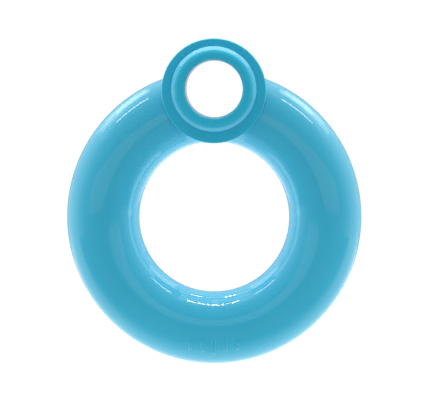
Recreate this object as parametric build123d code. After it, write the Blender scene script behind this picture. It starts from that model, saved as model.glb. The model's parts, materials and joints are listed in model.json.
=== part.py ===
"""Thick hollow ring with a flanged round eye: two moulded half shells and a two-part snap-together eyelet.

Units are millimetres. The ring stands upright in the XZ plane with its eye on top (+Z) and its
marked face to the front (-Y). The origin is the centre of the eye's bore. The two shells meet on the
parting plane, Y = 0, and so do the two halves of the eyelet.
"""

from build123d import *
import os

# ---------------------------------------------------------------- driving dimensions
# The ring
RING_OUTER_DIAMETER = 150.0
TUBE_DIAMETER = 36.9
SHELL_WALL = 2.4

# The eye, whose bore is the origin
BORE_DIAMETER = 29.0
BORE_ABOVE_TUBE_MIDDLE = 8.5 # the bore's centre is this far outside the tube's centreline
BOSS_WIDTH = 6.9             # from the bore to the boss's edge
BOSS_HEIGHT = 4.5
BOSS_EDGE_ROUNDING = 4.3
LARGEST_ROUNDING_SHARE = 0.96 # the boss's rounding takes no more of its height than this
BORE_LIP_ROUNDING = 1.2
FLANGE_WIDTH = 5.0           # from the boss's edge to the flange's
FLANGE_DROP = 0.95           # the flange's centre sits this much lower than the bore's
FLANGE_THICKNESS = 3.5
FLANGE_PROUD_OF_TUBE = 1.8
FLANGE_EDGE_ROUNDING = 0.8

# The eyelet's barrel, and the lap that snaps its two halves together
BARREL_WALL = 2.5
LAP_LENGTH = 8.0
LAP_INNER_WALL = 1.2
SNAP_BEAD_HEIGHT = 0.35
SNAP_BEAD_WIDTH = 1.6

# The shells' housing and collar round the eyelet
FLANGE_OVERHANG = 1.6        # the flange reaches this far past the housing
COLLAR_WALL = 2.0

# The welded tongue and groove between the two shells
TONGUE_THICKNESS = 0.8
TONGUE_HEIGHT = 1.2

# The moulded row of plain bars low on the front of the tube
BAR_LENGTHS = (5.0, 7.5, 10.0, 7.5, 5.0)
BAR_WIDTH = 2.0
BAR_PITCH = 6.0
BAR_RELIEF = 0.4
BAR_OUTSIDE_TUBE_MIDDLE = 7.7 # the row's middle is this far outside the tube's centreline

# Clearances
SEAT_CLEARANCE = 0.15        # flange in its recess, all round
BARREL_CLEARANCE = 0.10      # barrel in the shells' collar, on radius
LAP_CLEARANCE = 0.05         # spigot in socket, on radius
SEAM_CLEARANCE = 0.05        # tongue in groove, each side
END_CLEARANCE = 0.10         # tongue and spigot short of their bottoms

# ---------------------------------------------------------------- derived sizes
tube_radius = TUBE_DIAMETER / 2
ring_radius = RING_OUTER_DIAMETER / 2 - tube_radius
ring_centre_z = -(ring_radius + BORE_ABOVE_TUBE_MIDDLE)
bar_row_z = ring_centre_z - ring_radius - BAR_OUTSIDE_TUBE_MIDDLE

bore_radius = BORE_DIAMETER / 2
boss_radius = bore_radius + BOSS_WIDTH
boss_rounding = min(BOSS_EDGE_ROUNDING, LARGEST_ROUNDING_SHARE * BOSS_HEIGHT)
flange_radius = boss_radius + FLANGE_WIDTH
flange_front = tube_radius + FLANGE_PROUD_OF_TUBE
flange_back = flange_front - FLANGE_THICKNESS
boss_front = flange_front + BOSS_HEIGHT

barrel_radius = bore_radius + BARREL_WALL
spigot_radius = bore_radius + LAP_INNER_WALL
socket_radius = spigot_radius + LAP_CLEARANCE
collar_bore_radius = barrel_radius + BARREL_CLEARANCE
housing_radius = flange_radius - FLANGE_OVERHANG
recess_radius = flange_radius + SEAT_CLEARANCE

# A solid that only cuts or trims another reaches this far past it
OVERCUT = 1.0


def disc(radius, y_from, y_to, drop=0.0):
    """A round disc along Y between two depths, centred on the bore or dropped below it."""
    middle = (y_from + y_to) / 2
    return Pos(0, middle, -drop) * Rot(90, 0, 0) * Cylinder(radius, y_to - y_from)


def sleeve(outer_radius, inner_radius, y_from, y_to):
    """A round wall along Y about the bore."""
    return disc(outer_radius, y_from, y_to) - disc(inner_radius, y_from - OVERCUT, y_to + OVERCUT)


def behind(solid):
    """The same shape on the other side of the parting plane."""
    return mirror(solid, about=Plane.XZ)


# ---------------------------------------------------------------- shells
def half_tube(outer_radius, inner_radius):
    """The front half of a hollow tube bent into the ring, as one turned section."""
    section = Pos(ring_radius, 0) * (Circle(outer_radius) - Circle(inner_radius))
    front_only = Pos(ring_radius, -outer_radius) * Rectangle(4 * outer_radius, 2 * outer_radius)
    return Pos(0, 0, ring_centre_z) * revolve(section & front_only, Axis.Y)


def seam_band(thickness, height):
    """A band along the middle of the rims, from the parting plane forwards."""
    mid_wall = SHELL_WALL / 2
    half = thickness / 2
    outer_rim = ring_radius + tube_radius - mid_wall
    inner_rim = ring_radius - tube_radius + mid_wall
    housing_rim = housing_radius - mid_wall
    ring_plan = Circle(outer_rim + half) - Circle(outer_rim - half)
    ring_plan += Circle(inner_rim + half) - Circle(inner_rim - half)
    plan = Pos(0, ring_centre_z) * ring_plan
    plan -= Pos(0, -FLANGE_DROP) * Circle(housing_rim)
    plan += Pos(0, -FLANGE_DROP) * (Circle(housing_rim + half) - Circle(housing_rim - half))
    return extrude(Plane.XZ * plan, height)


def bars():
    """Plain raised bars across the front of the tube, opposite the eye."""
    rooted_skin = half_tube(tube_radius + BAR_RELIEF, tube_radius - SHELL_WALL / 2)
    row = []
    for index, length in enumerate(BAR_LENGTHS):
        x = (index - (len(BAR_LENGTHS) - 1) / 2) * BAR_PITCH
        outline = Pos(x, bar_row_z) * Rot(0, 0, 90) * SlotOverall(length, BAR_WIDTH)
        row.append(extrude(Plane.XZ * outline, tube_radius + OVERCUT) & rooted_skin)
    return row


def plain_shell():
    """The front half of the hollow ring, with the round housing that holds the eyelet."""
    shell = half_tube(tube_radius, tube_radius - SHELL_WALL)
    shell += disc(housing_radius, -flange_back, 0, FLANGE_DROP)
    shell -= disc(housing_radius - SHELL_WALL, -flange_back + SHELL_WALL, OVERCUT, FLANGE_DROP)
    shell -= disc(recess_radius, -boss_front, -flange_back, FLANGE_DROP)
    shell += sleeve(collar_bore_radius + COLLAR_WALL, collar_bore_radius, -flange_back + SHELL_WALL / 2, 0)
    return shell - disc(collar_bore_radius, -boss_front, OVERCUT)


def front_ring_shell():
    """The front half: bars outside, and a groove along its rims."""
    shell = plain_shell() - seam_band(TONGUE_THICKNESS + 2 * SEAM_CLEARANCE, TONGUE_HEIGHT + END_CLEARANCE)
    for bar in bars():
        shell += bar
    return shell


def rear_ring_shell():
    """The rear half: a tongue along its rims that fills the groove."""
    return behind(plain_shell()) + seam_band(TONGUE_THICKNESS, TONGUE_HEIGHT)


# ---------------------------------------------------------------- eyelet
def eyelet_head():
    """The flange, its rounded boss, and the barrel down to the parting plane, for the front half."""
    flange = disc(flange_radius, -flange_front, -flange_back, FLANGE_DROP)
    flange = fillet(flange.edges().sort_by(Axis.Y)[0], FLANGE_EDGE_ROUNDING)
    boss = disc(boss_radius, -boss_front, -flange_back)
    boss = fillet(boss.edges().sort_by(Axis.Y)[0], boss_rounding)
    head = flange + boss + disc(barrel_radius, -flange_front, 0)
    head -= disc(bore_radius, -boss_front - OVERCUT, OVERCUT)
    face = head.faces().sort_by(Axis.Y)[0]
    lip = face.edges().sort_by(SortBy.RADIUS)[0]
    return fillet(lip, BORE_LIP_ROUNDING)


def snap_bead(radius):
    """A rounded bead round the lap, halfway along it."""
    centre = radius + SNAP_BEAD_HEIGHT - SNAP_BEAD_WIDTH / 2
    return revolve(Pos(centre, LAP_LENGTH / 2) * Circle(SNAP_BEAD_WIDTH / 2), Axis.Y)


def front_eyelet():
    """The front half, whose thin spigot runs on past the parting plane and carries the bead."""
    spigot = sleeve(spigot_radius, bore_radius, -OVERCUT, LAP_LENGTH)
    bead = snap_bead(spigot_radius) - disc(bore_radius + LAP_INNER_WALL / 2, 0, LAP_LENGTH)
    return eyelet_head() + spigot + bead


def rear_eyelet():
    """The rear half, whose socket takes the spigot and its bead."""
    head = behind(eyelet_head())
    socket = disc(socket_radius, -OVERCUT, LAP_LENGTH + END_CLEARANCE)
    return head - socket - snap_bead(socket_radius)


# ---------------------------------------------------------------- write the parts
def main():
    os.makedirs("parts", exist_ok=True)
    pieces = {
        "front_ring_shell": front_ring_shell(),
        "rear_ring_shell": rear_ring_shell(),
        "front_eyelet": front_eyelet(),
        "rear_eyelet": rear_eyelet(),
    }
    for name, piece in pieces.items():
        export_step(piece, f"parts/{name}.step")
        print(name, len(piece.solids()), "solid,", round(piece.volume / 1000, 1), "cm3")


if __name__ == "__main__":
    main()
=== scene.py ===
# %% [markdown]
# # A thick moulded ring with a round eye
#
# The object is one glossy sky-blue ring of round tube, about as wide as a saucer, with a flanged
# eye on its rim. It is moulded as two hollow half shells that are welded together, and a two-part
# eyelet is snapped through them. So this lesson makes four pieces, each as its own closed mesh,
# and spends most of its care on one thing: a glossy plastic that shows its form by reflections.
#
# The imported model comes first. It is the fixed frame: every size that can be read is read from it.

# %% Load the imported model
import json
import math

import bmesh
import bpy
from mathutils import Matrix, Vector


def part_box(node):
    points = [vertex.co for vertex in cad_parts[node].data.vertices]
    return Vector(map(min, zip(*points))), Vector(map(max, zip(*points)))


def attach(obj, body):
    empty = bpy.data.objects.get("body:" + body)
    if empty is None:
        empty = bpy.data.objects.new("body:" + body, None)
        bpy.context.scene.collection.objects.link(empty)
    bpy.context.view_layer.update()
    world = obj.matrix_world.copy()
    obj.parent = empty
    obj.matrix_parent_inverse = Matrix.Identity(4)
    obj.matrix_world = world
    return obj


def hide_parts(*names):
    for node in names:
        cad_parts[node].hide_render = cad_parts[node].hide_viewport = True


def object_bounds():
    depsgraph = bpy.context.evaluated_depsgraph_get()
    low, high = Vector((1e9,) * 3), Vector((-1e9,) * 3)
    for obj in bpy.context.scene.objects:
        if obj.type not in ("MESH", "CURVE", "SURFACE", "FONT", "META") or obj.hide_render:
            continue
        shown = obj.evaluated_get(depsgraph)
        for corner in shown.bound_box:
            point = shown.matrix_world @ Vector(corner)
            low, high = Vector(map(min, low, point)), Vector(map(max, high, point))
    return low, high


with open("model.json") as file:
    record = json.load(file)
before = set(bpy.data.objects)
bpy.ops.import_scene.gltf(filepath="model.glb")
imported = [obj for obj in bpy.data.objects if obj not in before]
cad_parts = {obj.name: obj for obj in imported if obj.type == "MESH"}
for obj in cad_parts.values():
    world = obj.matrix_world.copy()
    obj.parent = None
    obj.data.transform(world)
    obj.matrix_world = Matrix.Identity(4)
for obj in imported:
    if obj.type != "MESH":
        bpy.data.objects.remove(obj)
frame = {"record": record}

cad_low, cad_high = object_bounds()
print("CAD box", tuple(cad_low), tuple(cad_high))

# %% [markdown]
# ## Sizes
#
# Blender works in metres. The ring's and the flange's sizes are read from the boxes of the CAD
# nodes, and the bore from the mount that the record states. The few that a box can't give, such as
# a wall or a rounding, are written here once, under the names a mould maker would use. A hundredth
# of a millimetre is taken off the ring, so that the looks never grow out of the model's box.

# %% Sizes
MM = 0.001

shell_low, shell_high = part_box("rear_ring_shell")
head_low, head_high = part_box("front_eyelet")
eye_bore = next(m for m in frame["record"]["mounts"] if m["name"] == "eye_bore")

looks_inset = 0.01 * MM
ring_outer_radius = (shell_high[0] - shell_low[0]) / 2 - looks_inset
tube_radius = shell_high[1] - looks_inset
ring_radius = ring_outer_radius - tube_radius
ring_centre = Vector((0, 0, shell_low[2] + ring_outer_radius + looks_inset))

bore_radius = eye_bore["dims"]["r_mm"] * MM
bore_centre = Vector(eye_bore["pos_m"])
flange_radius = (head_high[0] - head_low[0]) / 2
flange_centre = Vector((0, 0, (head_low[2] + head_high[2]) / 2))
boss_front = -head_low[1]
lap_end = head_high[1]

boss_radius = bore_radius + 6.9 * MM
boss_height = 4.5 * MM
boss_rounding = 4.3 * MM
boss_slope_degrees = 44
bore_lip_rounding = 1.2 * MM
flange_thickness = 3.5 * MM
flange_rounding = 0.8 * MM
flange_front = boss_front - boss_height
flange_back = flange_front - flange_thickness
barrel_radius = bore_radius + 2.5 * MM
lap_radius = bore_radius + 1.2 * MM
lap_clearance = 0.05 * MM
end_clearance = 0.1 * MM

shell_wall = 2.4 * MM
housing_radius = flange_radius - 1.6 * MM
recess_radius = flange_radius + 0.15 * MM
collar_bore_radius = barrel_radius + 0.1 * MM
collar_radius = collar_bore_radius + 2.0 * MM
seam_chamfer = 0.12 * MM
edge_break = 0.3 * MM

for label, radius in (("ring", ring_outer_radius), ("tube", tube_radius), ("flange", flange_radius),
                      ("bore", bore_radius)):
    print(label, round(2 * radius / MM, 2), "mm across")

# %% [markdown]
# ## A pen and a lathe
#
# Every piece here is round about some axis along Y, so two tools make nearly all of them. The pen
# draws an outline in the XY plane, where x is the distance from the axis and y is the depth: it
# extrudes a vertex along a straight line, or spins it round a centre for an arc. The lathe then
# spins that outline a full turn. Both are bmesh operators, so no list of vertices is worked out.


# %% The pen and the lathe
def start_outline(x, y):
    """A new bmesh that holds the outline's first vertex."""
    pen = bmesh.new()
    pen.verts.new((x, y, 0))
    pen.verts.ensure_lookup_table()
    return pen


def tip(pen):
    """The vertex the pen drew last."""
    pen.verts.ensure_lookup_table()
    return pen.verts[-1]


def line_to(pen, x, y):
    """A straight edge to a point."""
    made = bmesh.ops.extrude_vert_indiv(pen, verts=[tip(pen)])
    made["verts"][0].co = Vector((x, y, 0))


def arc_round(pen, x, y, degrees, steps):
    """An arc round a centre, anticlockwise for positive degrees."""
    bmesh.ops.spin(pen, geom=[tip(pen)], cent=(x, y, 0), axis=(0, 0, 1), angle=math.radians(degrees),
                   steps=steps, use_duplicate=False)


def lathe(pen, centre, steps, closed=True):
    """Closes the outline, turns it about Y and moves it to its centre. Gives back the same bmesh."""
    pen.verts.ensure_lookup_table()
    if closed:
        pen.edges.new((pen.verts[-1], pen.verts[0]))
    outline = pen.verts[:] + pen.edges[:]
    bmesh.ops.spin(pen, geom=outline, cent=(0, 0, 0), axis=(0, 1, 0), angle=math.tau, steps=steps,
                   use_merge=True, use_duplicate=False)
    bmesh.ops.remove_doubles(pen, verts=pen.verts, dist=0.001 * MM)
    bmesh.ops.recalc_face_normals(pen, faces=pen.faces)
    bmesh.ops.translate(pen, verts=pen.verts, vec=centre)
    return pen


def piece_from(pen, name):
    """A finished object from a bmesh, at the origin, with its place in its mesh."""
    mesh = bpy.data.meshes.new(name)
    pen.to_mesh(mesh)
    pen.free()
    piece = bpy.data.objects.new(name, mesh)
    bpy.context.scene.collection.objects.link(piece)
    return piece


# %% [markdown]
# ## Joining and cutting
#
# Where two round forms with different axes meet, such as the ring's tube and the eye's housing, a
# Boolean modifier finds the crease between them. It is applied at once, so that each finished piece
# is a plain closed mesh. Smooth shading is then kept everywhere but along edges sharper than a
# limit, which keeps the tube's reflections even and its creases crisp.

# %% Join, cut and shade
DISC_STEPS = 192
CREASE_DEGREES = 32


def combine(piece, tool, operation):
    """Applies one Boolean and removes the tool."""
    step = piece.modifiers.new(operation.lower(), "BOOLEAN")
    step.operation = operation
    step.solver = "EXACT"
    step.object = tool
    bpy.context.view_layer.update()
    result = bpy.data.meshes.new_from_object(piece.evaluated_get(bpy.context.evaluated_depsgraph_get()))
    piece.modifiers.clear()
    old = piece.data
    piece.data = result
    result.name = piece.name
    bpy.data.meshes.remove(old)
    bpy.data.objects.remove(tool)
    return piece


def disc(name, radius, y_from, y_to, centre):
    """A plain round cutter along Y."""
    pen = bmesh.new()
    middle = centre + Vector((0, (y_from + y_to) / 2, 0))
    place = Matrix.Translation(middle) @ Matrix.Rotation(math.pi / 2, 4, "X")
    bmesh.ops.create_cone(pen, cap_ends=True, segments=DISC_STEPS, radius1=radius, radius2=radius,
                          depth=y_to - y_from, matrix=place)
    return piece_from(pen, name)


def shade(piece):
    """Smooth shading, with creases where two faces meet at more than the limit."""
    piece.data.shade_smooth()
    piece.data.set_sharp_from_angle(angle=math.radians(CREASE_DEGREES))


def mirrored(piece, name):
    """A copy on the other side of the parting plane, with its faces turned the right way out."""
    pen = bmesh.new()
    pen.from_mesh(piece.data)
    bmesh.ops.scale(pen, vec=(1, -1, 1), verts=pen.verts)
    bmesh.ops.reverse_faces(pen, faces=pen.faces)
    return piece_from(pen, name)


# %% [markdown]
# ## The half shells
#
# Each shell is half of the hollow tube, bent into a ring. On the lathe that is one C-shaped
# outline: the outer half circle, the flat rim at the parting plane, and the inner half circle. The
# rim's outer corner is broken by about a tenth of a millimetre, so that two shells face to face
# leave the fine V that a welded moulding shows. The eye's housing starts as a plain round block.

# %% Half a hollow ring
TUBE_ARC_STEPS = 72
INNER_ARC_STEPS = 24
RING_STEPS = 320
HOUSING_STEPS = 192
CUT_PAST = 1 * MM


def half_ring():
    """The front half of the tube, closed along its rims."""
    lean = math.degrees(math.asin(seam_chamfer / tube_radius))
    reach = tube_radius * math.cos(math.radians(lean))
    pen = start_outline(ring_radius + tube_radius - seam_chamfer, 0)
    line_to(pen, ring_radius + reach, -seam_chamfer)
    arc_round(pen, ring_radius, 0, -(180 - 2 * lean), TUBE_ARC_STEPS)
    line_to(pen, ring_radius - tube_radius + seam_chamfer, 0)
    line_to(pen, ring_radius - tube_radius + shell_wall, 0)
    arc_round(pen, ring_radius, 0, 180, INNER_ARC_STEPS)
    return lathe(pen, ring_centre, RING_STEPS)


def housing():
    """The round housing, solid as yet, with its rim's corner broken at the parting plane."""
    pen = start_outline(0, 0)
    line_to(pen, housing_radius - seam_chamfer, 0)
    line_to(pen, housing_radius, -seam_chamfer)
    line_to(pen, housing_radius, -flange_back)
    line_to(pen, 0, -flange_back)
    return lathe(pen, flange_centre, HOUSING_STEPS, closed=False)


front_shell = piece_from(half_ring(), "ring_front_half")
print("half ring faces", len(front_shell.data.polygons))

# %% [markdown]
# ## The eye's housing
#
# The round block is joined to the half ring and then hollowed to a cup. A shallow recess takes the
# flange, a collar inside takes the barrel, and a passage runs through both. The rear shell is the
# front one mirrored, made now, while the front one has no bars yet.

# %% Join and hollow the housing
cup = disc("cup", housing_radius - shell_wall, shell_wall - flange_back, CUT_PAST, flange_centre)
recess = disc("recess", recess_radius, -boss_front, -flange_back, flange_centre)
collar = disc("collar", collar_radius, shell_wall / 2 - flange_back, 0, bore_centre)
passage = disc("passage", collar_bore_radius, -boss_front, CUT_PAST, bore_centre)

combine(front_shell, piece_from(housing(), "housing"), "UNION")
combine(front_shell, cup, "DIFFERENCE")
combine(front_shell, recess, "DIFFERENCE")
combine(front_shell, collar, "UNION")
combine(front_shell, passage, "DIFFERENCE")
rear_shell = mirrored(front_shell, "ring_rear_half")
shade(rear_shell)
print("half shell faces", len(front_shell.data.polygons))

# %% [markdown]
# ## The moulded bars
#
# Low on the front, the mould leaves a short row of plain raised bars. Each starts as a circle whose
# halves are drawn apart into a slot, and which is inset ring by ring. Its points are then laid on
# the tube and lifted by a low dome, so that the bar keeps soft edges as a real relief does. The edge
# is drawn down into the shell's wall and closed there, which makes a solid that can be joined on.

# %% Bars that follow the tube
BAR_LENGTHS = (5.0, 7.5, 10.0, 7.5, 5.0)
BAR_WIDTH = 2.0 * MM
BAR_PITCH = 6.0 * MM
BAR_RELIEF = 0.4 * MM
BAR_OUTSIDE_TUBE_MIDDLE = 7.7 * MM
BAR_INSETS = (0.05, 0.09, 0.14, 0.18, 0.22, 0.22)
BAR_CIRCLE_STEPS = 32
ON_THE_WAIST = 1e-9


def tube_depth(x, z):
    """How far in front of the parting plane the tube's surface lies, at a place in front view."""
    out = math.hypot(x - ring_centre.x, z - ring_centre.z) - ring_radius
    return math.sqrt(max(tube_radius ** 2 - out ** 2, 0))


def dome_lift(across, along, half_run):
    """How high a bar stands at a place on its plan: full along its middle line, none at its edge."""
    off_run = max(abs(along) - half_run, 0)
    out_of_middle = min(math.hypot(across, off_run) / (BAR_WIDTH / 2), 1)
    return BAR_RELIEF * math.sqrt(1 - out_of_middle ** 2)


def slot_plate(half_run):
    """A flat round-ended plate, with rings of points that follow its edge."""
    pen = bmesh.new()
    bmesh.ops.create_circle(pen, cap_ends=True, segments=BAR_CIRCLE_STEPS, radius=BAR_WIDTH / 2)
    for point in pen.verts:
        if abs(point.co.y) > ON_THE_WAIST:
            point.co.y += math.copysign(half_run, point.co.y)
    for inset in BAR_INSETS:
        top = max(pen.faces, key=lambda face: face.calc_area())
        bmesh.ops.inset_region(pen, faces=[top], thickness=inset * MM, use_boundary=True,
                               use_even_offset=True)
    return pen


def bar(length, x):
    """One domed bar, closed at its back inside the shell's wall."""
    half_run = (length - BAR_WIDTH) / 2
    pen = slot_plate(half_run)
    rim_edges = [edge for edge in pen.edges if edge.is_boundary]
    centre_z = ring_centre.z - ring_radius - BAR_OUTSIDE_TUBE_MIDDLE
    for point in pen.verts:
        lift = dome_lift(point.co.x, point.co.y, half_run)
        place_x = x + point.co.x
        place_z = centre_z + point.co.y
        point.co = Vector((place_x, -tube_depth(place_x, place_z) - lift, place_z))
    made = bmesh.ops.extrude_edge_only(pen, edges=rim_edges)
    roots = [part for part in made["geom"] if isinstance(part, bmesh.types.BMVert)]
    bmesh.ops.translate(pen, verts=roots, vec=(0, shell_wall / 2, 0))
    bmesh.ops.contextual_create(pen, geom=[e for e in pen.edges if e.is_boundary])
    bmesh.ops.recalc_face_normals(pen, faces=pen.faces)
    return pen


for index, length in enumerate(BAR_LENGTHS):
    offset = (index - (len(BAR_LENGTHS) - 1) / 2) * BAR_PITCH
    combine(front_shell, piece_from(bar(length * MM, offset), f"bar_{index}"), "UNION")
shade(front_shell)
print("front shell faces", len(front_shell.data.polygons))

# %% [markdown]
# ## The eyelet
#
# The head of each eyelet half is a flat flange with a rounded boss on it. The boss, the bore's lip
# and the barrel share the bore's axis and are one turned outline. The boss's rounding stops short of
# its side and runs on in a short straight slope. The flange is turned about its own axis, about a
# millimetre lower, and joined on: that small offset is what keeps the eyelet from turning.

# %% The eyelet's halves
EYELET_STEPS = 256
FLANGE_ARC_STEPS = 8
LIP_ARC_STEPS = 10
BOSS_ARC_STEPS = 20


def flange():
    """The flat flange, with a rounded front edge and a broken back edge."""
    inner = (barrel_radius + boss_radius) / 2
    pen = start_outline(inner, -flange_back)
    line_to(pen, inner, -flange_front)
    line_to(pen, flange_radius - flange_rounding, -flange_front)
    arc_round(pen, flange_radius - flange_rounding, flange_rounding - flange_front, 90,
              FLANGE_ARC_STEPS)
    line_to(pen, flange_radius, -flange_back - edge_break)
    line_to(pen, flange_radius - edge_break, -flange_back)
    return lathe(pen, flange_centre, EYELET_STEPS)


def bore_to_barrel(pen):
    """The bore's wall, its lip, the boss and its rounded edge, back down to the barrel."""
    line_to(pen, bore_radius, bore_lip_rounding - boss_front)
    arc_round(pen, bore_radius + bore_lip_rounding, bore_lip_rounding - boss_front, 90, LIP_ARC_STEPS)
    line_to(pen, boss_radius - boss_rounding, -boss_front)
    arc_round(pen, boss_radius - boss_rounding, boss_rounding - boss_front, boss_slope_degrees,
              BOSS_ARC_STEPS)
    run_left = boss_radius - tip(pen).co.x
    line_to(pen, boss_radius, tip(pen).co.y + run_left * math.tan(math.radians(boss_slope_degrees)))
    line_to(pen, boss_radius, flange_thickness / 2 - flange_front)
    line_to(pen, barrel_radius, flange_thickness / 2 - flange_front)
    line_to(pen, barrel_radius, 0)


def front_half():
    """The front half, whose thin spigot runs on past the parting plane."""
    pen = start_outline(lap_radius, 0)
    line_to(pen, lap_radius, lap_end)
    line_to(pen, bore_radius, lap_end)
    bore_to_barrel(pen)
    return piece_from(lathe(pen, bore_centre, EYELET_STEPS), "eyelet_front_half")


def rear_half():
    """The rear half, drawn as for the front: its socket is cut back to take the spigot."""
    pen = start_outline(lap_radius + lap_clearance, 0)
    line_to(pen, lap_radius + lap_clearance, -lap_end - end_clearance)
    line_to(pen, bore_radius, -lap_end - end_clearance)
    bore_to_barrel(pen)
    return piece_from(lathe(pen, bore_centre, EYELET_STEPS), "rear_blank")


front_eyelet = combine(front_half(), piece_from(flange(), "flange"), "UNION")
rear_blank = combine(rear_half(), piece_from(flange(), "flange"), "UNION")
rear_eyelet = mirrored(rear_blank, "eyelet_rear_half")
bpy.data.objects.remove(rear_blank)
shade(front_eyelet)
shade(rear_eyelet)
print("eyelet faces", len(front_eyelet.data.polygons))

# %% [markdown]
# ## Hanging the pieces on the frame
#
# The model has one body, so every piece rides on it. Each piece stands for the CAD node of the same
# part, which is hidden but still carries the collision and the mass.

# %% Ride, replace and slot
PIECES = (
    (front_shell, "front_ring_shell", "ring_plastic"),
    (rear_shell, "rear_ring_shell", "ring_plastic"),
    (front_eyelet, "front_eyelet", "eyelet_plastic"),
    (rear_eyelet, "rear_eyelet", "eyelet_plastic"),
)
for piece, node, slot in PIECES:
    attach(piece, "root")
    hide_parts(node)
    print(piece.name, "stands for", node)

# %% [markdown]
# ## Helpers for materials
#
# A material here is a tree of nodes. Each helper adds one kind of node and links it, so that a
# finish reads as a list of layers, with the meaning of each line in its name.

# %% Node helpers
BUMP_STRENGTH = 0.05


def add_node(tree, kind, **settings):
    """A node with its sockets or properties set by name."""
    node = tree.nodes.new(kind)
    for name, value in settings.items():
        if name in node.inputs:
            node.inputs[name].default_value = value
        else:
            setattr(node, name, value)
    return node


def noise(tree, where, scale, detail, roughness=0.5):
    """A noise texture on the given coordinates; its factor is the output."""
    node = add_node(tree, "ShaderNodeTexNoise", Scale=scale, Detail=detail, Roughness=roughness)
    tree.links.new(where, node.inputs["Vector"])
    return node.outputs["Fac"]


def remap(tree, value, low, high, new_low, new_high):
    """A value's range laid on another, and held there."""
    node = add_node(tree, "ShaderNodeMapRange")
    for index, number in enumerate((low, high, new_low, new_high), start=1):
        node.inputs[index].default_value = number
    tree.links.new(value, node.inputs[0])
    return node.outputs[0]


def maths(tree, operation, first, second):
    """One operation on two values, each a socket or a number."""
    node = add_node(tree, "ShaderNodeMath", operation=operation)
    for socket, value in zip(node.inputs, (first, second)):
        if isinstance(value, (int, float)):
            socket.default_value = value
        else:
            tree.links.new(value, socket)
    return node.outputs[0]


def blend_colours(tree, factor, first, second):
    """Two colours mixed by a factor; each is a socket or three numbers."""
    node = add_node(tree, "ShaderNodeMix", data_type="RGBA")
    tree.links.new(factor, node.inputs["Factor"])
    for socket, colour in ((node.inputs[6], first), (node.inputs[7], second)):
        if isinstance(colour, tuple):
            socket.default_value = (*colour, 1)
        else:
            tree.links.new(colour, socket)
    return node.outputs[2]


def bump(tree, height, depth, below=None):
    """A bump layer, laid over the one below it."""
    node = add_node(tree, "ShaderNodeBump", Strength=BUMP_STRENGTH, Distance=depth)
    tree.links.new(height, node.inputs["Height"])
    if below is not None:
        tree.links.new(below, node.inputs["Normal"])
    return node.outputs["Normal"]


# %% [markdown]
# ## Glossy moulded plastic
#
# The plastic is a dense sky-blue with a polished mould's gloss. A single colour would look like
# paint on a screen, so the finish is built in layers. The pigment drifts a little, in slow clouds.
# The surface has the long shallow waves that cooling leaves, and a fine orange peel. Handling has
# left faint hairlines and a duller edge wherever two faces meet. That edge is also painted paler,
# partly as wear and partly as a painted highlight along it. A touch of subsurface light softens
# the shading, as in any polymer that isn't painted.

# %% The plastic
CLOUD_SCALE = 22
WAVE_SCALE = 38
PEEL_SCALE = 900
HANDLING_SCALE = 70
HAIRLINE_SCALE = 60
HAIRLINE_STRETCH = (1, 30, 26)
HAIRLINE_TURN = (0.4, 0.9, 0.3)
HAIRLINE_DULLING = 0.04
WEAR_AND_HIGHLIGHT_RADIUS = 0.45 * MM
WORN_DULLING = 0.2
GLOSS_DRIFT = 0.02
WAVE_DEPTH = 0.25 * MM
FINE_DEPTH = 0.01 * MM
SUBSURFACE_SHARE = 0.15
SUBSURFACE_SPREAD = (0.3, 1.0, 1.6)
SUBSURFACE_DEPTH = 1.2 * MM


def worn_and_highlit_edges(tree, handling):
    """Outward edges in patches, for wear and a painted highlight: where a rounded normal leaves the
    face's own.
    """
    surface = add_node(tree, "ShaderNodeNewGeometry")
    rounded = add_node(tree, "ShaderNodeBevel", Radius=WEAR_AND_HIGHLIGHT_RADIUS, samples=6)
    agreement = add_node(tree, "ShaderNodeVectorMath", operation="DOT_PRODUCT")
    tree.links.new(rounded.outputs["Normal"], agreement.inputs[0])
    tree.links.new(surface.outputs["Normal"], agreement.inputs[1])
    edges = remap(tree, agreement.outputs["Value"], 0.99, 0.80, 0, 1)
    outward_only = remap(tree, surface.outputs["Pointiness"], 0.50, 0.52, 0, 1)
    patches = remap(tree, handling, 0.4, 0.7, 0.25, 0.6)
    return maths(tree, "MULTIPLY", maths(tree, "MULTIPLY", edges, outward_only), patches)


def hairline_mask(tree, place):
    """Thin streaks in one direction: noise on stretched coordinates, cut off high."""
    stretch = add_node(tree, "ShaderNodeMapping", Scale=HAIRLINE_STRETCH, Rotation=HAIRLINE_TURN)
    tree.links.new(place, stretch.inputs["Vector"])
    streaks = noise(tree, stretch.outputs["Vector"], HAIRLINE_SCALE, detail=3, roughness=0.7)
    return remap(tree, streaks, 0.70, 0.78, 0, 1)


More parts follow.
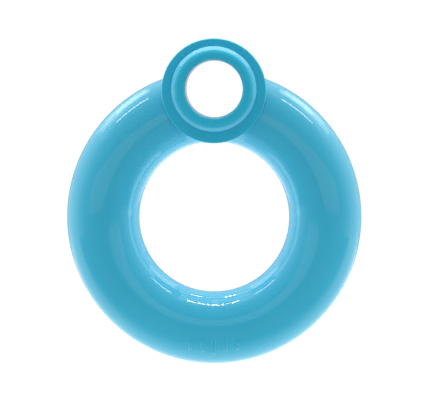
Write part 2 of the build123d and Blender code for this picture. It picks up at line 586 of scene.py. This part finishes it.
def glossy_plastic(name, pigment, cloud, edge, roughness, ior):
    """A polished moulded plastic: drifting pigment, cooling waves, hairlines, and paler edges of wear
    and painted highlight.
    """
    material = bpy.data.materials.new(name)
    material.use_nodes = True
    tree = material.node_tree
    shader = tree.nodes["Principled BSDF"]
    shader.inputs["IOR"].default_value = ior
    shader.inputs["Subsurface Weight"].default_value = SUBSURFACE_SHARE
    shader.inputs["Subsurface Radius"].default_value = SUBSURFACE_SPREAD
    shader.inputs["Subsurface Scale"].default_value = SUBSURFACE_DEPTH

    place = add_node(tree, "ShaderNodeTexCoord").outputs["Object"]
    clouds = noise(tree, place, CLOUD_SCALE, detail=2)
    waves = noise(tree, place, WAVE_SCALE, detail=1)
    peel = noise(tree, place, PEEL_SCALE, detail=2)
    handling = noise(tree, place, HANDLING_SCALE, detail=4, roughness=0.65)
    hairlines = hairline_mask(tree, place)
    wear_and_highlight = worn_and_highlit_edges(tree, handling)

    body = blend_colours(tree, remap(tree, clouds, 0.35, 0.65, 0, 1), pigment, cloud)
    # Outward edges take the paler edge colour: partly wear, partly a painted highlight along each edge.
    tree.links.new(blend_colours(tree, wear_and_highlight, body, edge), shader.inputs["Base Color"])

    scuffed = maths(tree, "MULTIPLY", hairlines, HAIRLINE_DULLING)
    duller = maths(tree, "ADD", scuffed, maths(tree, "MULTIPLY", wear_and_highlight, WORN_DULLING))
    gloss = remap(tree, handling, 0.35, 0.75, roughness, roughness + GLOSS_DRIFT)
    tree.links.new(maths(tree, "ADD", gloss, duller), shader.inputs["Roughness"])

    cooled = bump(tree, waves, WAVE_DEPTH)
    peeled = bump(tree, peel, FINE_DEPTH, cooled)
    scratched = bump(tree, hairlines, -FINE_DEPTH, peeled)
    tree.links.new(scratched, shader.inputs["Normal"])
    return material


# %% [markdown]
# ## Two mixes of one plastic
#
# The eyelet is moulded apart from the ring, in a slightly deeper blue that reflects more strongly.
# Each finish is given a body colour, the colour its clouds drift to, and a paler one for its edges,
# which stands partly for wear and partly for a painted highlight.


# %% Colour the pieces
def wear(piece, material):
    """Puts one finish on the whole piece."""
    piece.data.materials.clear()
    piece.data.materials.append(material)
    for face in piece.data.polygons:
        face.material_index = 0


# The third colour of each is the paler edge: wear and a painted edge highlight.
RING_COLOURS = ((0.038, 0.468, 0.685), (0.044, 0.488, 0.705), (0.20, 0.64, 0.84))
EYELET_COLOURS = ((0.006, 0.535, 0.790), (0.010, 0.555, 0.810), (0.14, 0.68, 0.87))
POLISH = 0.045
RING_IOR = 1.5
EYELET_IOR = 1.70

ring_plastic = glossy_plastic("ring_plastic", *RING_COLOURS, roughness=POLISH, ior=RING_IOR)
eyelet_plastic = glossy_plastic("eyelet_plastic", *EYELET_COLOURS, roughness=POLISH, ior=EYELET_IOR)
finishes = {"ring_plastic": ring_plastic, "eyelet_plastic": eyelet_plastic}
for piece, node, slot in PIECES:
    wear(piece, finishes[slot])
    print(piece.name, "wears", slot, "with", len(finishes[slot].node_tree.nodes), "nodes")

# %% [markdown]
# ## Floor
#
# A plain white sheet lies well below the ring, which hangs by its eye. It glows a little, as an
# over-lit sheet does, so that it runs into the white surroundings with no horizon. The glow fades
# towards the open front, which is why the ring's underside is pale and its front is not.

# %% The floor sheet
FLOOR_DROP = 0.42
FLOOR_HALF_SIDE = 2.6
GLOW_STARTS = -0.32
GLOW_FULL = 0.05
GLOW_LOW = 0.17
GLOW_HIGH = 1.40
PAPER_GREY = 0.22
PAPER_ROUGHNESS = 0.85
PAPER_SPECULAR = 0.1

floor_height = cad_low[2] - FLOOR_DROP
sheet = bmesh.new()
bmesh.ops.create_grid(sheet, x_segments=8, y_segments=8, size=FLOOR_HALF_SIDE,
                      matrix=Matrix.Translation((0, 0, floor_height)))
floor = piece_from(sheet, "floor")
paper = bpy.data.materials.new("floor_paper")
paper.use_nodes = True
paper_tree = paper.node_tree
paper_shader = paper_tree.nodes["Principled BSDF"]
paper_shader.inputs["Roughness"].default_value = PAPER_ROUGHNESS
paper_shader.inputs["Specular IOR Level"].default_value = PAPER_SPECULAR
paper_shader.inputs["Base Color"].default_value = (PAPER_GREY, PAPER_GREY, PAPER_GREY, 1)
paper_shader.inputs["Emission Color"].default_value = (1, 1, 1, 1)
across = add_node(paper_tree, "ShaderNodeSeparateXYZ")
paper_place = add_node(paper_tree, "ShaderNodeTexCoord").outputs["Object"]
paper_tree.links.new(paper_place, across.inputs[0])
glow = remap(paper_tree, across.outputs["Y"], GLOW_STARTS, GLOW_FULL, GLOW_LOW, GLOW_HIGH)
paper_tree.links.new(glow, paper_shader.inputs["Emission Strength"])
floor.data.materials.append(paper)
print("floor at", round(floor_height, 3), "m")

# %% [markdown]
# ## A white tent
#
# Gloss shows its surroundings, so the surroundings are the real light. The world is a white tent:
# bright at the sides, behind and overhead, and dim towards the open front. The dim front is what
# keeps the faces that look forwards deep in colour, and the bright sides draw a pale rim round
# every curve. The tent is fixed in the room, so it stays put when the view moves.
#
# The back wall is needed for its reflection. As plain light it would bleach the ring's back, so it
# counts for less there. A view that looks past the ring and the floor sees plain white.

# %% The tent's walls
TENT_WALLS = (
    (0.00, 0.28), (0.04, 0.30), (0.12, 0.60), (0.225, 0.76), (0.365, 0.80), (0.50, 0.75),
    (0.64, 0.48), (0.765, 0.30), (0.86, 0.22), (0.935, 0.18), (1.00, 0.15),
)
TENT_STRENGTH = 2.0
OVERHEAD_GAIN = 0.15
OVERHEAD_STARTS = 0.2
BACK_SHADING = 0.5
BACK_FULLY_SHADED = 0.6
PLAIN_WHITE = 1.05

world = bpy.data.worlds.new("tent")
world.use_nodes = True
bpy.context.scene.world = world
tent = world.node_tree
tent.nodes.clear()
direction = add_node(tent, "ShaderNodeTexCoord").outputs["Generated"]
parts = add_node(tent, "ShaderNodeSeparateXYZ")
tent.links.new(direction, parts.inputs[0])
frontness = remap(tent, parts.outputs["Y"], 1, -1, 0, 1)
ramp = add_node(tent, "ShaderNodeValToRGB")
ramp.color_ramp.interpolation = "EASE"
while len(ramp.color_ramp.elements) < len(TENT_WALLS):
    ramp.color_ramp.elements.new(0.5)
for element, (position, level) in zip(ramp.color_ramp.elements, TENT_WALLS):
    element.position = position
    element.color = (level, level, level, 1)
tent.links.new(frontness, ramp.inputs["Fac"])
print("tent wall levels", len(ramp.color_ramp.elements))

# %% [markdown]
# ## The tent's brightness
#
# The wall levels are multiplied by a strength that grows overhead. Rays of plain light are told
# apart from reflections by the Light Path node, and so are the ones that the view looks along.

# %% The tent's strength
rays = add_node(tent, "ShaderNodeLightPath").outputs
overhead = remap(tent, parts.outputs["Z"], OVERHEAD_STARTS, 1.0, 1, 1 + OVERHEAD_GAIN)
brightness = maths(tent, "MULTIPLY", overhead, TENT_STRENGTH)
shaded_back = remap(tent, parts.outputs["Y"], 0, BACK_FULLY_SHADED, 0, BACK_SHADING)
shade_taken = maths(tent, "MULTIPLY", shaded_back, rays["Is Diffuse Ray"])
brightness = maths(tent, "MULTIPLY", brightness, maths(tent, "SUBTRACT", 1.0, shade_taken))
walls = add_node(tent, "ShaderNodeBackground")
tent.links.new(ramp.outputs["Color"], walls.inputs["Color"])
tent.links.new(brightness, walls.inputs["Strength"])
white = add_node(tent, "ShaderNodeBackground", Color=(1, 1, 1, 1), Strength=PLAIN_WHITE)
choose = add_node(tent, "ShaderNodeMixShader")
tent.links.new(rays["Is Camera Ray"], choose.inputs[0])
tent.links.new(walls.outputs[0], choose.inputs[1])
tent.links.new(white.outputs[0], choose.inputs[2])
output = add_node(tent, "ShaderNodeOutputWorld")
tent.links.new(choose.outputs[0], output.inputs["Surface"])
print("tent nodes", len(tent.nodes))

# %% [markdown]
# ## Lamps and panels
#
# Gloss draws its lamps, so each highlight has a lamp of its own, hung where the curve looks from
# that spot. A bright lamp would also wash out the colour, so a light can be told to give gloss
# alone, and a fill to give plain light alone. A light can be limited to a group of pieces too, so
# that a lamp for the ring leaves the eye's boss calm.


# %% Groups, panels and bulbs
def group(name, pieces):
    """A collection that a light can be limited to."""
    collection = bpy.data.collections.new(name)
    for piece in pieces:
        collection.objects.link(piece)
    return collection


def hang(name, light, centre, only_on=None, gives="both"):
    """A light in its place, unseen by the camera. It gives gloss, plain light or both."""
    holder = bpy.data.objects.new(name, light)
    holder.location = centre
    holder.visible_camera = False
    holder.visible_diffuse = gives != "gloss"
    holder.visible_glossy = gives != "plain"
    bpy.context.scene.collection.objects.link(holder)
    if only_on is not None:
        holder.light_linking.receiver_collection = only_on
    return holder


def panel(name, centre, length, width, radiance, facing=(0, 0, -1), only_on=None, gives="both"):
    """A flat soft light that shines evenly."""
    light = bpy.data.lights.new(name, "AREA")
    light.shape = "RECTANGLE"
    light.size = length
    light.size_y = width
    light.energy = math.pi * radiance * length * width
    holder = hang(name, light, centre, only_on, gives)
    holder.rotation_mode = "QUATERNION"
    holder.rotation_quaternion = Vector(facing).to_track_quat("-Z", "Y")


def bulb(name, centre, radius, radiance, gives="both"):
    """A soft round light."""
    light = bpy.data.lights.new(name, "POINT")
    light.shadow_soft_size = radius
    light.energy = 4 * math.pi ** 2 * radius ** 2 * radiance
    hang(name, light, centre, gives=gives)


shells = group("shells", (front_shell, rear_shell))
eyelets = group("eyelets", (front_eyelet, rear_eyelet))

# %% [markdown]
# ## Rows of lamps
#
# A bowed row of small lamps hangs across the tent's roof in front of the ring, and a few more hang
# behind it. Light from the front row passes close in front of the ring's upper tube and meets the
# inner wall at the bottom of the opening, just in front of its middle. There the lamps show as a
# dotted line, with two short ones beside it from the row behind.

# %% Two rows
ROOF = 0.40
FRONT_ROW_Y = -0.097
ROW_BOW = 0.035
REAR_ROW_Y = 0.235
LAMP_PITCH = 0.0267
LAST_STEP = 5
REAR_STEPS = (-5, -4, -3, 3, 4, 5)
LAMP_LENGTH = 0.013
LAMP_WIDTH = 0.036
LAMP_RADIANCE = 60


def lamp(name, x, y, length=LAMP_LENGTH, width=LAMP_WIDTH):
    """One small bright lamp in the roof, for the ring's gloss."""
    panel(name, (x, y, ROOF), length, width, LAMP_RADIANCE, only_on=shells, gives="gloss")


for step in range(-LAST_STEP, LAST_STEP + 1):
    lamp("front_lamp", step * LAMP_PITCH, FRONT_ROW_Y + ROW_BOW * (step / LAST_STEP) ** 2)
for step in REAR_STEPS:
    lamp("rear_lamp", step * LAMP_PITCH, REAR_ROW_Y)
print("small lamps", 2 * LAST_STEP + 1 + len(REAR_STEPS))

# %% [markdown]
# ## The ends of the rows
#
# The front row ends in a larger lamp on each side. Further out a soft panel carries on sideways,
# which draws the streak beside the dots. A streak that fades is two panels of different lengths,
# one over the other. A wide dim panel behind does the same for the row at the back.

# %% End lamps and side panels
PANEL_NEAR = 0.27
END_LAMP_LENGTH = 0.030
END_LAMP_WIDTH = 0.06
FRONT_PANEL_LENGTHS = (0.10, 0.24)
FRONT_PANEL_WIDTH = 0.05
FRONT_PANEL_RADIANCE = 7
FRONT_PANEL_Y = FRONT_ROW_Y + 0.03
REAR_PANEL_LENGTH = 0.40
REAR_PANEL_WIDTH = 0.34
REAR_PANEL_RADIANCE = 1.3
REAR_PANEL_Y = 0.33

for side in (-1, 1):
    lamp("end_lamp", side * LAST_STEP * LAMP_PITCH, FRONT_ROW_Y + ROW_BOW,
         END_LAMP_LENGTH, END_LAMP_WIDTH)
    for length in FRONT_PANEL_LENGTHS:
        place = (side * (PANEL_NEAR + length / 2), FRONT_PANEL_Y, ROOF)
        panel("front_panel", place, length, FRONT_PANEL_WIDTH, FRONT_PANEL_RADIANCE, only_on=shells)
    place = (side * (PANEL_NEAR + REAR_PANEL_LENGTH / 2), REAR_PANEL_Y, ROOF)
    panel("rear_panel", place, REAR_PANEL_LENGTH, REAR_PANEL_WIDTH, REAR_PANEL_RADIANCE,
          only_on=shells)
print("side panels start", PANEL_NEAR, "m from the middle")

# %% [markdown]
# ## Shoulder strips
#
# The pale streaks on the ring's shoulders come from strips close outside them. They add gloss only:
# so near, their plain light would wash the colour out. Overlapping lengths make each streak fade.

# %% Strips by the shoulders
STRIP_OFF_RING = 0.05
STRIP_WIDTH = 0.036
STRIP_STARTS = 60
STRIP_LAYERS = ((12, 1.9), (24, 0.6), (36, 0.3))

strip_distance = ring_outer_radius + STRIP_OFF_RING
for side in (-1, 1):
    for span, radiance in STRIP_LAYERS:
        middle = math.radians(STRIP_STARTS - span / 2)
        outwards = Vector((side * math.cos(middle), 0, math.sin(middle)))
        place = ring_centre + strip_distance * outwards + Vector((0, STRIP_WIDTH / 2, 0))
        length = 2 * strip_distance * math.tan(math.radians(span / 2))
        panel("shoulder_strip", place, length, STRIP_WIDTH, radiance, -outwards,
              only_on=shells, gives="gloss")
print("strips stand", round(strip_distance, 3), "m from the ring's centre")

# %% [markdown]
# ## Bands and the boss's rim
#
# Two dim strips far out in front draw the soft bands along the middle of the tube. The wider one
# lies over the narrower one, so the band's edges are soft. Panels straight above the eye draw the
# pale rim on top of its boss.

# %% Front bands and boss panels
BAND_PLACE = (0, -0.34, -0.013)
BAND_LENGTH = 0.8
BAND_WIDTHS = (0.06, 0.12)
BAND_RADIANCE = 0.55
ABOVE_EYE = (0, 0, ROOF)
EYE_PANEL_LENGTH = 0.5
EYE_PANEL_WIDTH = 0.25
EYE_PANEL_RADIANCE = 2.0
BOSS_GLINT_LENGTHS = (0.6, 1.2)
BOSS_GLINT_WIDTH = 0.40
BOSS_GLINT_RADIANCE = 1.2

for width in BAND_WIDTHS:
    panel("front_band", BAND_PLACE, BAND_LENGTH, width, BAND_RADIANCE, facing=(0, 1, 0),
          only_on=shells)
panel("eye_panel", ABOVE_EYE, EYE_PANEL_LENGTH, EYE_PANEL_WIDTH, EYE_PANEL_RADIANCE, only_on=eyelets)
for length in BOSS_GLINT_LENGTHS:
    panel("boss_glint", ABOVE_EYE, length, BOSS_GLINT_WIDTH, BOSS_GLINT_RADIANCE,
          only_on=eyelets, gives="gloss")
print("bands", len(BAND_WIDTHS), "boss panels", len(BOSS_GLINT_LENGTHS) + 1)

# %% [markdown]
# ## Soft fills
#
# Across the opening the inner wall reflects the wall opposite, which turns it too deep a blue. A
# ring of small panels back to back in the opening lightens that reflection, and a bulb gives the
# wall plain light. One panel low in front lifts the ring's underside, without gloss.

# %% Fills
OPENING_MIDDLE = ring_centre + Vector((0, -0.003, -0.004))
FILL_RADIUS = 0.020
FILL_RADIANCE = 1.5
GLINT_SIDES = 8
GLINT_RADIUS = 0.012
GLINT_FORWARD = Vector((0, -0.009, 0))
GLINT_LENGTH = 0.010
GLINT_WIDTH = 0.026
GLINT_RADIANCE = 1.0
UNDER_PLACE = (0, -0.25, -0.28)
UNDER_FACING = (0, 0.23, 0.16)
UNDER_LENGTH = 0.30
UNDER_WIDTH = 0.20
UNDER_RADIANCE = 1.05

bulb("opening_fill", OPENING_MIDDLE, FILL_RADIUS, FILL_RADIANCE, gives="plain")
for step in range(GLINT_SIDES):
    turn = math.tau * step / GLINT_SIDES
    outwards = Vector((math.cos(turn), 0, math.sin(turn)))
    place = ring_centre + GLINT_RADIUS * outwards + GLINT_FORWARD
    panel("opening_glint", place, GLINT_LENGTH, GLINT_WIDTH, GLINT_RADIANCE, outwards,
          only_on=shells, gives="gloss")
panel("under_fill", UNDER_PLACE, UNDER_LENGTH, UNDER_WIDTH, UNDER_RADIANCE, UNDER_FACING,
      gives="plain")
print("lights in all", len(bpy.data.lights))

# %% [markdown]
# ## Camera
#
# The camera stands far off with a long lens, level with the eye's bore, so that daylight shows
# straight through the bore. The view's width is given at the parting plane, where the ring's
# outline lies. Colours go through the Standard view, because the tent's white should stay white.

# %% The camera
CAMERA_DISTANCE = 1.5
CAMERA_ELEVATION = math.radians(2.2)
CAMERA_AZIMUTH = math.radians(0.6)
VIEW_WIDTH = 0.21854
AIM_RIGHT = 0.00015
AIM_ABOVE_RING_CENTRE = 0.00851
SENSOR_WIDTH = 36

target = ring_centre + Vector((AIM_RIGHT, 0, AIM_ABOVE_RING_CENTRE))
level = Vector((math.sin(CAMERA_AZIMUTH), -math.cos(CAMERA_AZIMUTH), 0))
back = math.cos(CAMERA_ELEVATION) * level + math.sin(CAMERA_ELEVATION) * Vector((0, 0, 1))
camera_data = bpy.data.cameras.new("camera")
camera = bpy.data.objects.new("camera", camera_data)
bpy.context.scene.collection.objects.link(camera)
camera.location = target + CAMERA_DISTANCE * back
camera.rotation_mode = "QUATERNION"
camera.rotation_quaternion = (-back).to_track_quat("-Z", "Y")
camera_data.sensor_width = SENSOR_WIDTH
camera_data.lens = camera_data.sensor_width * CAMERA_DISTANCE / VIEW_WIDTH
bpy.context.scene.camera = camera
bpy.context.scene.view_settings.view_transform = "Standard"
print("lens", round(camera_data.lens, 1), "mm")
